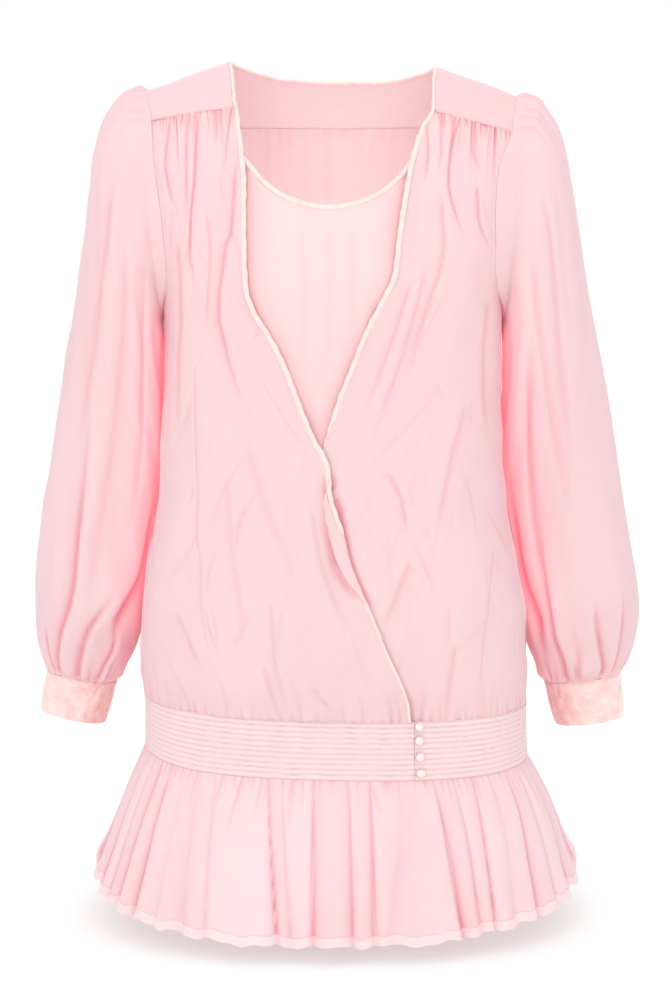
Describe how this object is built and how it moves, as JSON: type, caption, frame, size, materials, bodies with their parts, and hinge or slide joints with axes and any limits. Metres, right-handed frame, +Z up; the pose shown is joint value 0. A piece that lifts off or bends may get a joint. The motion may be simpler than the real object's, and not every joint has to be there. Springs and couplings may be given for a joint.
{
  "type": "wrap-front tunic dress",
  "caption": "Wrap-front tunic dress of gathered chiffon, filled out with no wearer: plain yoke, scooped insert, full cuffed sleeves, tucked hip band and a flared ruffle.",
  "frame": {"origin": "midway between the neck ends of the two shoulders, where the wearer's shoulders hold the garment", "axes": "+Z up, along the garment's length; +X to the right seen from the front; the front faces -Y"},
  "size_m": [0.6173, 0.3907, 0.8332],
  "materials": {
    "chiffon": "matte silk chiffon, slightly sheer",
    "insert_chiffon": "matte silk chiffon, flat",
    "band_chiffon": "chiffon in stitched tucks, soft sheen",
    "binding_satin": "ivory satin, soft sheen",
    "cuff_satin": "peach satin, crumpled sheen",
    "button_satin": "satin-covered button"
  },
  "bodies": {
    "root": {"front_over": "chiffon", "front_under": "chiffon", "yoke": "chiffon", "back": "chiffon", "neck_binding": "binding_satin", "insert": "insert_chiffon", "insert_binding": "binding_satin", "sleeve_left_front": "chiffon", "sleeve_left_back": "chiffon", "sleeve_right_front": "chiffon", "sleeve_right_back": "chiffon", "cuff_left": "cuff_satin", "cuff_right": "cuff_satin", "band_front_over": "band_chiffon", "band_front_under": "band_chiffon", "band_back": "band_chiffon", "button_1": "button_satin", "button_2": "button_satin", "button_3": "button_satin", "button_4": "button_satin", "ruffle_front": "chiffon", "ruffle_back": "chiffon"}
  },
  "joints": []
}
